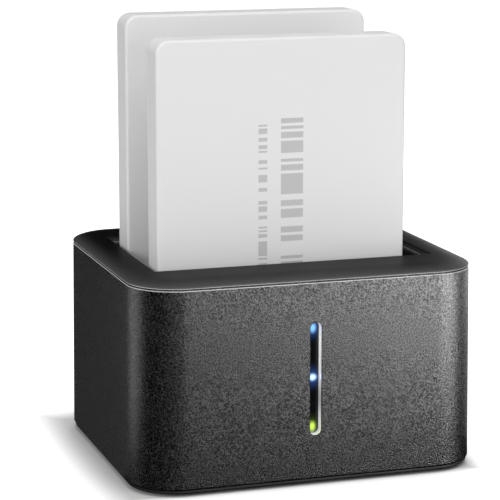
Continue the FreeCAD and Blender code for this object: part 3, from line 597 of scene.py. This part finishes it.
# %% Cutting shapes
def block(low, high):
    """A box between two corners."""
    bm = bmesh.new()
    bmesh.ops.create_cube(bm, size=1.0)
    bmesh.ops.scale(bm, vec=[b - a for a, b in zip(low, high)], verts=bm.verts)
    bmesh.ops.translate(bm, vec=[(a + b) / 2 for a, b in zip(low, high)], verts=bm.verts)
    return bm


STAND_UP = Matrix(((1, 0, 0), (0, 0, 1), (0, 1, 0)))


def stand(bm, x, y, z):
    """Turns a stack so that its height runs backwards along Y, and moves it into place."""
    bmesh.ops.transform(bm, matrix=STAND_UP.to_4x4(), verts=bm.verts)
    bmesh.ops.reverse_faces(bm, faces=bm.faces)
    bmesh.ops.translate(bm, vec=(x, y, z), verts=bm.verts)
    return bm


def upright_bar(radius, x, y, low, high, segments=40):
    """A round bar along Z between two heights."""
    bm = bmesh.new()
    bmesh.ops.create_cone(bm, cap_ends=True, segments=segments, radius1=radius, radius2=radius,
                          depth=high - low)
    bmesh.ops.translate(bm, vec=(x, y, (low + high) / 2), verts=bm.verts)
    return bm


def round_bar(radius, depth, x, y, z, segments=48):
    """A round bar that runs backwards along Y from y."""
    return stand(upright_bar(radius, 0, 0, 0, depth, segments), x, y, z)


# %% [markdown]
# ## The sleeve
#
# The sleeve's walls lean in by half a millimetre from foot to seam, because a mould has to open. Its
# foot and its seam edge are softly broken, and the groove at the seam is what makes the dark line under
# the rim. The section is carried round as levels, up the outside, over the spigot and down the inside.

# %% The sleeve's section
def sleeve():
    foot_round = 0.3 * MM
    wall_low, wall_high = shell_foot + foot_round, shell_top - seam_round
    levels = [housing_level(foot_round * (1 - s), 0, shell_foot + foot_round * c) for s, c in quarter(3)]
    levels += [housing_level(0, lean * t, wall_low + (wall_high - wall_low) * t)
               for t in (0.25, 0.5, 0.75, 1.0)]
    levels += [housing_level(seam_round * c, lean, shell_top - seam_round * (1 - s))
               for s, c in quarter(4)[1:]]
    levels.append(housing_level(seam_depth, lean, shell_top))
    levels.append(housing_level(seam_depth, lean, bezel_foot))
    levels.append(housing_level(wall, 0, bezel_foot))
    levels.append(housing_level(wall, 0, shell_foot))
    return stack(levels, closed=True)


# %% [markdown]
# The rear wall opens for the data port, the power inlet and two buttons, and the front wall for the light
# slot. Each opening takes its place from the piece that shows in it, and is a little wider. The buttons'
# flanges are wider still, behind the wall, so the buttons can't fall out.

# %% Openings of the sleeve
usb_low, usb_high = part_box("usb_port")
pin_low, pin_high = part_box("dc_pin")
power_low, power_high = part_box("power_button")
clone_low, clone_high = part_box("clone_button")
fit = 0.25 * MM
flange = 1.1 * MM
rear_inside = half_depth - wall - 2 * MM
through = 8 * MM


def rear_slab(low, high, grow, radius):
    """A rounded slab through the rear wall, round a box."""
    half_x, half_z = (high.x - low.x) / 2 + grow, (high.z - low.z) / 2 + grow
    slab = stack([(half_x, half_z, radius, 0), (half_x, half_z, radius, through)], segments=10)
    return stand(slab, (low.x + high.x) / 2, rear_inside, (low.z + high.z) / 2)


power_radius = (power_high.x - power_low.x) / 2 - flange
power_middle = (power_low + power_high) / 2
collar_radius = 4.0 * MM
clone_radius = 1.6 * MM
usb_radius = 1.6 * MM
slot_half = 1.58 * MM
slot_reach = (slot_high.z - slot_low.z) / 2 - 0.2 * MM
trim_wall = 0.12 * MM
trim_play = 0.05 * MM
cut_size = (slot_half + trim_wall + trim_play, slot_reach + trim_wall + trim_play, slot_half + trim_wall)
front_cut = stack([(*cut_size, 0), (*cut_size, 6 * MM)])
shell_bm = carve(sleeve(), [
    stand(front_cut, 0, -half_depth - MM, slot_z),
    rear_slab(usb_low, usb_high, fit, usb_radius),
    round_bar(collar_radius + fit, through, (pin_low.x + pin_high.x) / 2, rear_inside,
              (pin_low.z + pin_high.z) / 2),
    round_bar(power_radius + fit, through, power_middle.x, rear_inside, power_middle.z),
    rear_slab(clone_low, clone_high, fit - flange, clone_radius + fit),
])
finish_piece(shell_bm, "grained_sleeve", "dock", "shell", ["body_shell"], sharp=50)

# %% [markdown]
# ## The rim
#
# The rim is the smooth part: it rises from the seam in a quarter of an ellipse, flat where it meets the
# opening, and turns down over a small edge into the bay. A subdivision surface could give that curve too,
# but levels keep the ellipse exact and the long reflections on it clean.

# %% Rim
def rim():
    edge = 0.35 * MM
    crown_run, crown_foot = 8.0 * MM, bezel_foot + seam_round
    levels = [housing_level(seam_round * (1 - s), lean, bezel_foot + seam_round * c) for s, c in quarter(4)]
    levels += [housing_level(crown_run * c, lean, crown_foot + (rim_top - crown_foot) * s)
               for s, c in quarter(20)[1:]]
    corner = 0.5 * MM
    levels += [(opening_x + edge * (1 - s), opening_y + edge * (1 - s), corner + edge * (1 - s),
                rim_top - edge * c) for s, c in quarter(5)]
    levels.append((opening_x, opening_y, corner, rim_under))
    tongue_in, tongue_out = wall + 1.35 * MM, wall + 0.15 * MM
    tongue_foot = bezel_foot - 2.2 * MM
    levels.append(housing_level(tongue_in, 0, rim_under))
    levels.append(housing_level(tongue_in, 0, tongue_foot))
    levels.append(housing_level(tongue_out, 0, tongue_foot))
    levels.append(housing_level(tongue_out, 0, bezel_foot))
    return stack(levels, closed=True)


finish_piece(rim(), "crowned_rim", "dock", "bezel", ["top_bezel"], sharp=50)

# %% [markdown]
# ## The base
#
# Turned over, the station shows a flat cover with two rows of vents, four screws sunk in the corners and
# four rubber feet in shallow pockets. Its edge is the thin lip that shows under the sleeve.

# %% Base cover
feet_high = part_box("rubber_feet")[1]
foot_radius = 5.0 * MM
foot_x, foot_y = feet_high.x - foot_radius, feet_high.y - foot_radius
screws_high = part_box("base_screws")[1]
head_radius = 2.5 * MM
screw_x, screw_y = screws_high.x - head_radius, screws_high.y - head_radius
corner_signs = [(sx, sy) for sx in (-1, 1) for sy in (-1, 1)]


def base():
    setback, bevel, inset = half_width - cover_high.x, 0.5 * MM, wall + 0.15 * MM
    head_top, pocket_play = cover_low.z + 1.1 * MM, 0.1 * MM
    floor_top, lip_top = cover_low.z + 2.2 * MM, cover_low.z + 0.9 * MM
    levels = [housing_level(setback + bevel * (1 - s), 0, cover_low.z + bevel * c) for s, c in quarter(5)]
    levels.append(housing_level(setback, 0, lip_top))
    levels.append(housing_level(inset, 0, lip_top))
    levels.append(housing_level(inset, 0, floor_top))
    cutters = [upright_bar(foot_radius + pocket_play, sx * foot_x, sy * foot_y, cover_low.z - MM,
                           feet_high.z) for sx, sy in corner_signs]
    cutters += [upright_bar(head_radius + fit, sx * screw_x, sy * screw_y, cover_low.z - MM, head_top)
                for sx, sy in corner_signs]
    pitch, row_place, half_x, half_y = 4.5 * MM, 11 * MM, 0.9 * MM, 7.5 * MM
    for x in [step * pitch for step in range(-3, 4)]:
        for y in (-row_place, row_place):
            cutters.append(block((x - half_x, y - half_y, 0), (x + half_x, y + half_y, 5 * MM)))
    return carve(stack(levels), cutters)


finish_piece(base(), "base_with_vents", "dock", "base", ["base_cover"])


# %% Feet
def feet():
    """Four rubber pads with a rounded lower edge."""
    bm = bmesh.new()
    edge = 0.35 * MM
    for sx, sy in corner_signs:
        pad = bmesh.ops.create_cone(bm, cap_ends=True, segments=48, radius1=foot_radius,
                                    radius2=foot_radius, depth=feet_high.z)["verts"]
        bmesh.ops.translate(bm, vec=(sx * foot_x, sy * foot_y, feet_high.z / 2), verts=pad)
    rims = [e for e in bm.edges if all(v.co.z < 0.1 * MM for v in e.verts)]
    bmesh.ops.bevel(bm, geom=rims, offset=edge, offset_type="OFFSET", segments=3, profile=0.5,
                    affect="EDGES", material=-1)
    return bm


finish_piece(feet(), "rubber_pads", "dock", "rubber", ["rubber_feet"])

# %% [markdown]
# ## The light slot
#
# A bright plated liner stands in the slot, its lip just behind the grained wall. Seen from one side the far
# wall of the liner is a bright line beside the black window, bright mostly from its painted glow. The liner
# is a ring of levels with a rounded lip, and the window is a thin slab at the bottom of it.

# %% Trim and window
trim_low, trim_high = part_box("light_trim")
trim_setback = 0.45 * MM


def pill_level(grow, y):
    """A level of the slot, grown all round, y behind its front."""
    return (slot_half + grow, slot_reach + grow, slot_half + grow - 0.02 * MM, y)


def trim():
    back, lip = trim_high.y - trim_low.y, 0.05 * MM
    levels = [pill_level(trim_wall - lip * (1 - s), lip * c) for s, c in quarter(4)]
    levels.append(pill_level(trim_wall, back))
    levels.append(pill_level(0, back))
    levels += [pill_level(lip * (1 - s), lip * c) for s, c in reversed(quarter(4))]
    return stand(stack(levels, closed=True), 0, -half_depth + trim_setback, slot_z)


finish_piece(trim(), "plated_slot", "dock", "bright_trim", ["light_trim"], sharp=60)
ahead, play = 0.6 * MM, 0.01 * MM
window = stack([pill_level(-play, 0), pill_level(-play, slot_high.y - slot_low.y + ahead)])
window = stand(window, 0, slot_low.y - ahead, slot_z)
finish_piece(window, "smoked_window", "dock", "smoked_lens", ["light_window"])

# %% [markdown]
# ## The drives
#
# Both drives are the same piece at two heights. The case is a shallow white tray with softly rounded
# edges; a thinner cover closes its back with four small screws, and its foot has a recess over the plug.

# %% Trays
drive_corner = 3.6 * MM
drive_edge = 0.8 * MM
drive_segments = 12


def drive_level(low, high, inset, y):
    """A level of a drive that lies between two corners, y behind its front."""
    return (high.x - low.x) / 2 - inset, (high.z - low.z) / 2 - inset, drive_corner - inset, y


def stand_in(low, high, levels, y):
    """Stacks levels and stands them in the middle of a box, from y backwards."""
    middle = (low + high) / 2
    return stand(stack(levels, segments=drive_segments), middle.x, y, middle.z)


def tray(name):
    """A case, open behind, with soft edges and a recess in its foot over the plug."""
    low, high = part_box(name + "_drive_case")
    plug_low, plug_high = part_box(name + "_drive_plug")
    depth, rim_width, front_wall = high.y - low.y, 1.5 * MM, 1.3 * MM
    bevel, slack = 0.4 * MM, 0.5 * MM
    levels = [drive_level(low, high, drive_edge * (1 - s), drive_edge * c) for s, c in quarter(6)]
    levels += [drive_level(low, high, bevel * c, depth - bevel * (1 - s)) for s, c in quarter(4)]
    levels += [drive_level(low, high, rim_width, y) for y in (depth, front_wall)]
    recess = block((plug_low.x - slack, plug_low.y - slack, low.z - MM),
                   (plug_high.x + slack, plug_high.y + slack, low.z + 2 * MM))
    return carve(stand_in(low, high, levels, low.y), [recess])


# %% [markdown]
# The back cover sits inside the tray's walls with a fine gap all round. Its four screws have crossed slots,
# cut with two thin blocks, because a driver has to fit them.

# %% Back covers and their screws
screw_radius = 1.25 * MM


def screw_places(name):
    """The four middles (x, z) of a drive's screws."""
    low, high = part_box(name + "_drive_screws")
    return [(x, z) for x in (low.x + screw_radius, high.x - screw_radius)
            for z in (low.z + screw_radius, high.z - screw_radius)]


def back_cover(name):
    """A plate with a broken edge and four screw holes."""
    low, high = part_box(name + "_drive_case")
    back_low, back_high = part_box(name + "_drive_back")
    gap, edge, thick = 1.6 * MM, 0.15 * MM, back_high.y - back_low.y
    levels = [drive_level(low, high, inset, y)
              for inset, y in ((gap, 0), (gap, thick - edge), (gap + edge, thick))]
    holes = [round_bar(screw_radius + fit, 4 * MM, x, back_low.y - MM, z, 32)
             for x, z in screw_places(name)]
    return carve(stand_in(low, high, levels, back_low.y), holes)


def cover_screws(name):
    """Four screws in one mesh, each with a crossed slot."""
    low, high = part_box(name + "_drive_screws")
    length, depth, reach, half = 4.9 * MM, 0.7 * MM, 0.85 * MM, 0.22 * MM
    screws = bmesh.new()
    for x, z in screw_places(name):
        arms = [block((x - a, high.y - depth, z - b), (x + a, high.y + MM, z + b))
                for a, b in ((reach, half), (half, reach))]
        screw = carve(round_bar(screw_radius, length, x, low.y, z, 32), arms)
        mesh = bpy.data.meshes.new("screw")
        screw.to_mesh(mesh)
        screw.free()
        screws.from_mesh(mesh)
        bpy.data.meshes.remove(mesh)
    return screws


# %% Both drives
for name in ("front", "rear"):
    body = name + "_drive"
    finish_piece(tray(name), body + "_tray", body, "drive_white", [body + "_case"],
                 finish="marked_white" if name == "front" else None)
    finish_piece(back_cover(name), body + "_cover", body, "drive_white", [body + "_back"])
    finish_piece(cover_screws(name), body + "_fasteners", body, "screw_steel", [body + "_screws"])

# %% [markdown]
# ## The pieces that stay as built
#
# Boards, sockets, chips and ports already have their true shape, so each is a merged copy of its solid:
# flat triangles are joined into whole faces, and a small bevel breaks the edges so that they catch light.

# %% Copies with broken edges
def dressed(node, body, slot):
    """Makes a piece of a solid as it was built, with its edges broken."""
    bm = bmesh.new()
    bm.from_mesh(frame["nodes"][node].data)
    bmesh.ops.remove_doubles(bm, verts=bm.verts, dist=0.001 * MM)
    bmesh.ops.dissolve_limit(bm, angle_limit=math.radians(1), verts=bm.verts, edges=bm.edges,
                             delimit={"NORMAL"})
    piece = finish_piece(bm, node + "_dressed", body, slot, [node])
    bevel = piece.modifiers.new("broken_edges", "BEVEL")
    bevel.width = 0.12 * MM
    bevel.segments = 2
    bevel.limit_method = "ANGLE"
    bevel.angle_limit = math.radians(40)
    piece.modifiers.move(1, 0)


slots = {row["node"]: row["material_slot"] for row in frame["record"]["subparts"]}
node_body = {node: body for body, members in frame["record"]["behaviour"]["bodies"].items()
             for node in members}
replaced = {node for piece in bpy.data.objects for node in piece.get("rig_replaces", [])}
for node in sorted(set(frame["nodes"]) - replaced):
    dressed(node, node_body[node], slots[node])

# %% [markdown]
# ## Floor, light and camera
#
# A white floor and soft lamps, as for a catalogue. The floor's own colour takes the lamps' shadows, and a
# glow that only the eye, mirrors and glass can see lifts the rest to white. The glow is left out under
# the station and fades close to it, which paints the dark line of contact that soft lamps leave too faint.

# %% Floor
def stage_card(name, width, height, place, turn=0.0, tilt=90.0):
    """A flat card of the studio; turn is about Z from facing the front, and tilt 0 lies flat."""
    bm = bmesh.new()
    bmesh.ops.create_grid(bm, x_segments=1, y_segments=1, size=0.5)
    bmesh.ops.scale(bm, vec=(width, height, 1), verts=bm.verts)
    bmesh.ops.rotate(bm, matrix=Matrix.Rotation(math.radians(tilt), 3, "X"), verts=bm.verts)
    bmesh.ops.rotate(bm, matrix=Matrix.Rotation(math.radians(turn), 3, "Z"), verts=bm.verts)
    bmesh.ops.translate(bm, vec=place, verts=bm.verts)
    mesh = bpy.data.meshes.new(name)
    bm.to_mesh(mesh)
    bm.free()
    made = bpy.data.objects.new(name, mesh)
    bpy.context.scene.collection.objects.link(made)
    return made


def seen_or_mirrored(tree):
    """One where a surface is seen directly, in a mirror or through glass, and zero for its light."""
    rays = tree.nodes.new("ShaderNodeLightPath")
    seen = math_node(tree, "MAXIMUM", rays.outputs["Is Camera Ray"], rays.outputs["Is Glossy Ray"])
    return math_node(tree, "MAXIMUM", seen, rays.outputs["Is Transmission Ray"])


floor = stage_card("floor", 8.0, 8.0, (0, 0, 0), tilt=0)
tree, shader = new_finish("pale_floor", (0.7, 0.7, 0.7), 0.9, Specular_IOR_Level=0.0, Emission_Color=WHITE)
contact = tree.nodes.new("ShaderNodeAmbientOcclusion")
contact.samples = 12
contact.inputs["Distance"].default_value = 9 * MM
floor_lift = 0.78
# Each side: its axis and direction, the wall, and where beyond it the glow starts and is full, in mm.
# The glow fades furthest out at the left and behind, which paints a wider shadow on those sides.
sides = (("X", -1, half_width, 1, 14), ("X", 1, half_width, -3, 2),
         ("Y", -1, half_depth, -3, 1), ("Y", 1, half_depth, -3, 12))
clear = 0.0
for axis, way, side, start, full in sides:
    beyond = ramp(tree, place_of(tree, axis), way * (side + start * MM), way * (side + full * MM))
    clear = math_node(tree, "MAXIMUM", clear, beyond)
open_floor = math_node(tree, "MULTIPLY", math_node(tree, "POWER", contact.outputs["AO"], 1.1), clear)
lift = math_node(tree, "MULTIPLY", spread(tree, open_floor, 0.0, floor_lift, 0.0, 1.0),
                 seen_or_mirrored(tree))
tree.links.new(lift, shader.inputs["Emission Strength"])
floor.data.materials.append(finishes["pale_floor"])
print("floor", [round(size, 1) for size in floor.dimensions], "m")

# %% [markdown]
# ### The room
#
# Round the floor is a plain white room. The eye and the mirrors see it in full, but it lights the object
# at half that strength, so that the lamps and not the room bring out the forms.

# %% World
room_seen, room_light = 1.0, 0.5
world = bpy.data.worlds.new("studio")
bpy.context.scene.world = world
world.use_nodes = True
background = world.node_tree.nodes["Background"]
background.inputs["Color"].default_value = WHITE
sky = spread(world.node_tree, seen_or_mirrored(world.node_tree), room_light, room_seen, 0, 1)
world.node_tree.links.new(sky, background.inputs["Strength"])
print("room seen at", room_seen, "and lighting at", room_light)

# %% [markdown]
# ### Cards for the reflections
#
# Dark glossy plastic shows its studio more than its own colour. A studio shapes that with cards: black
# ones where the plastic should go dark, and bright ones where it should shine. Bright ones stand for each
# wall, for the rim and for the round of the left corner. Cards are seen by reflections only, so they cast
# no shadows and light nothing that is matt.

# %% Cards
def reflection_card(name, width, height, place, turn=0.0, tilt=90.0, strength=0.0):
    """A card that only reflections see, black unless it is given a strength."""
    made = stage_card(name, width, height, place, turn, tilt)
    made.visible_camera = False
    made.visible_diffuse = False
    made.visible_shadow = False
    made.visible_transmission = False
    made.visible_volume_scatter = False
    new_finish(name, (0, 0, 0), 0.5, Specular_IOR_Level=0.0, Emission_Color=WHITE,
               Emission_Strength=strength)
    made.data.materials.append(finishes[name])
    print(name, "card of strength", strength)


on_floor = 0.1 * MM
reflection_card("dark_table_front", 2.0, 1.0, (0, -0.52, on_floor), tilt=0)
reflection_card("dim_table_back", 1.0, 1.0, (-0.48, 0.48, on_floor), tilt=0, strength=0.07)
reflection_card("dim_table_right", 1.0, 1.0, (0.52, 0.48, on_floor), tilt=0, strength=0.35)
reflection_card("dark_top", 2.0, 2.0, (0, 0.3, 0.8), tilt=0)
reflection_card("dark_back", 2.0, 0.8, (0, 0.6, 0.42))
reflection_card("dark_left", 1.6, 0.8, (-0.6, -0.1, 0.4), turn=90)
reflection_card("dark_right", 0.8, 0.8, (0.6, 0.1, 0.4), turn=90)
reflection_card("front_shine", 0.12, 0.075, (0.062, -0.20, 0.046), strength=5.6)
reflection_card("right_shine", 0.12, 0.075, (0.145, -0.140, 0.042), turn=45, strength=17.0)
reflection_card("high_shine", 0.50, 0.34, (0.05, -0.28, 0.30), strength=6.0)
reflection_card("left_shine", 0.12, 0.045, (-0.20, 0.09, 0.030), turn=90, strength=2.0)
reflection_card("back_shine", 0.15, 0.048, (0.07, 0.20, 0.030), strength=6.5)
reflection_card("side_shine", 0.12, 0.045, (0.20, 0.07, 0.030), turn=90, strength=2.2)
reflection_card("rim_shine", 0.20, 0.09, (0.22, 0.125, 0.112), turn=-50, strength=2.8)
reflection_card("corner_strip", 0.020, 0.07, (-0.0985, -0.002, 0.036), turn=58, strength=2.7)

# %% [markdown]
# ### Lamps
#
# Wide lamps give soft shadows. A small key stands near, high in front, and larger fills further off light
# the drives from above, from the left, from low in front and from behind. A lamp could give the shine as
# well, but the cards already do, so the lamps are kept out of reflections.

# %% Lamps
aim = Vector((0, 0, 0.12))


def softbox(name, azimuth, elevation, distance, width, height, power):
    """A rectangular lamp that faces the drives; azimuth 0 is in front and 90 is to the right."""
    turn, lift = math.radians(azimuth), math.radians(elevation)
    away = Vector((math.sin(turn) * math.cos(lift), -math.cos(turn) * math.cos(lift), math.sin(lift)))
    lamp = bpy.data.lights.new(name, "AREA")
    lamp.shape = "RECTANGLE"
    lamp.size, lamp.size_y = width, height
    lamp.energy = power
    made = bpy.data.objects.new(name, lamp)
    made.location = aim + away * distance
    made.rotation_euler = away.to_track_quat("Z", "Y").to_euler()
    made.visible_glossy = False
    bpy.context.scene.collection.objects.link(made)
    print(name, "lamp of", power, "W")


softbox("key", 8, 52, 0.34, 0.26, 0.26, 0.28)
softbox("overhead", 0, 80, 0.8, 0.5, 0.5, 1.5)
softbox("left_fill", -58, 12, 0.8, 0.3, 0.3, 1.9)
softbox("low_fill", 8, 2, 0.8, 0.4, 0.3, 0.62)
softbox("back_fill", 165, 30, 0.8, 0.5, 0.4, 2.2)

# %% [markdown]
# ### Camera
#
# A long lens from far off keeps the walls of a box nearly parallel, where a short one from near by would
# swell the corner towards it. The camera stands to the left and a little above, so that the front, the
# left wall and the rim all show.

# %% Camera
camera = bpy.data.cameras.new("camera")
camera.sensor_width = 36.0
camera.lens = 151.2
camera.clip_start = 0.01
viewer = bpy.data.objects.new("camera", camera)
viewer.location = Vector((-182.93, -549.66, 169.96)) * MM
target = Vector((-4.53, 0.0, 56.23)) * MM
viewer.rotation_euler = (viewer.location - target).to_track_quat("Z", "Y").to_euler()
bpy.context.scene.collection.objects.link(viewer)
bpy.context.scene.camera = viewer
bpy.context.scene.view_settings.view_transform = "Standard"
print("camera", round((viewer.location - target).length / MM), "mm from its target")
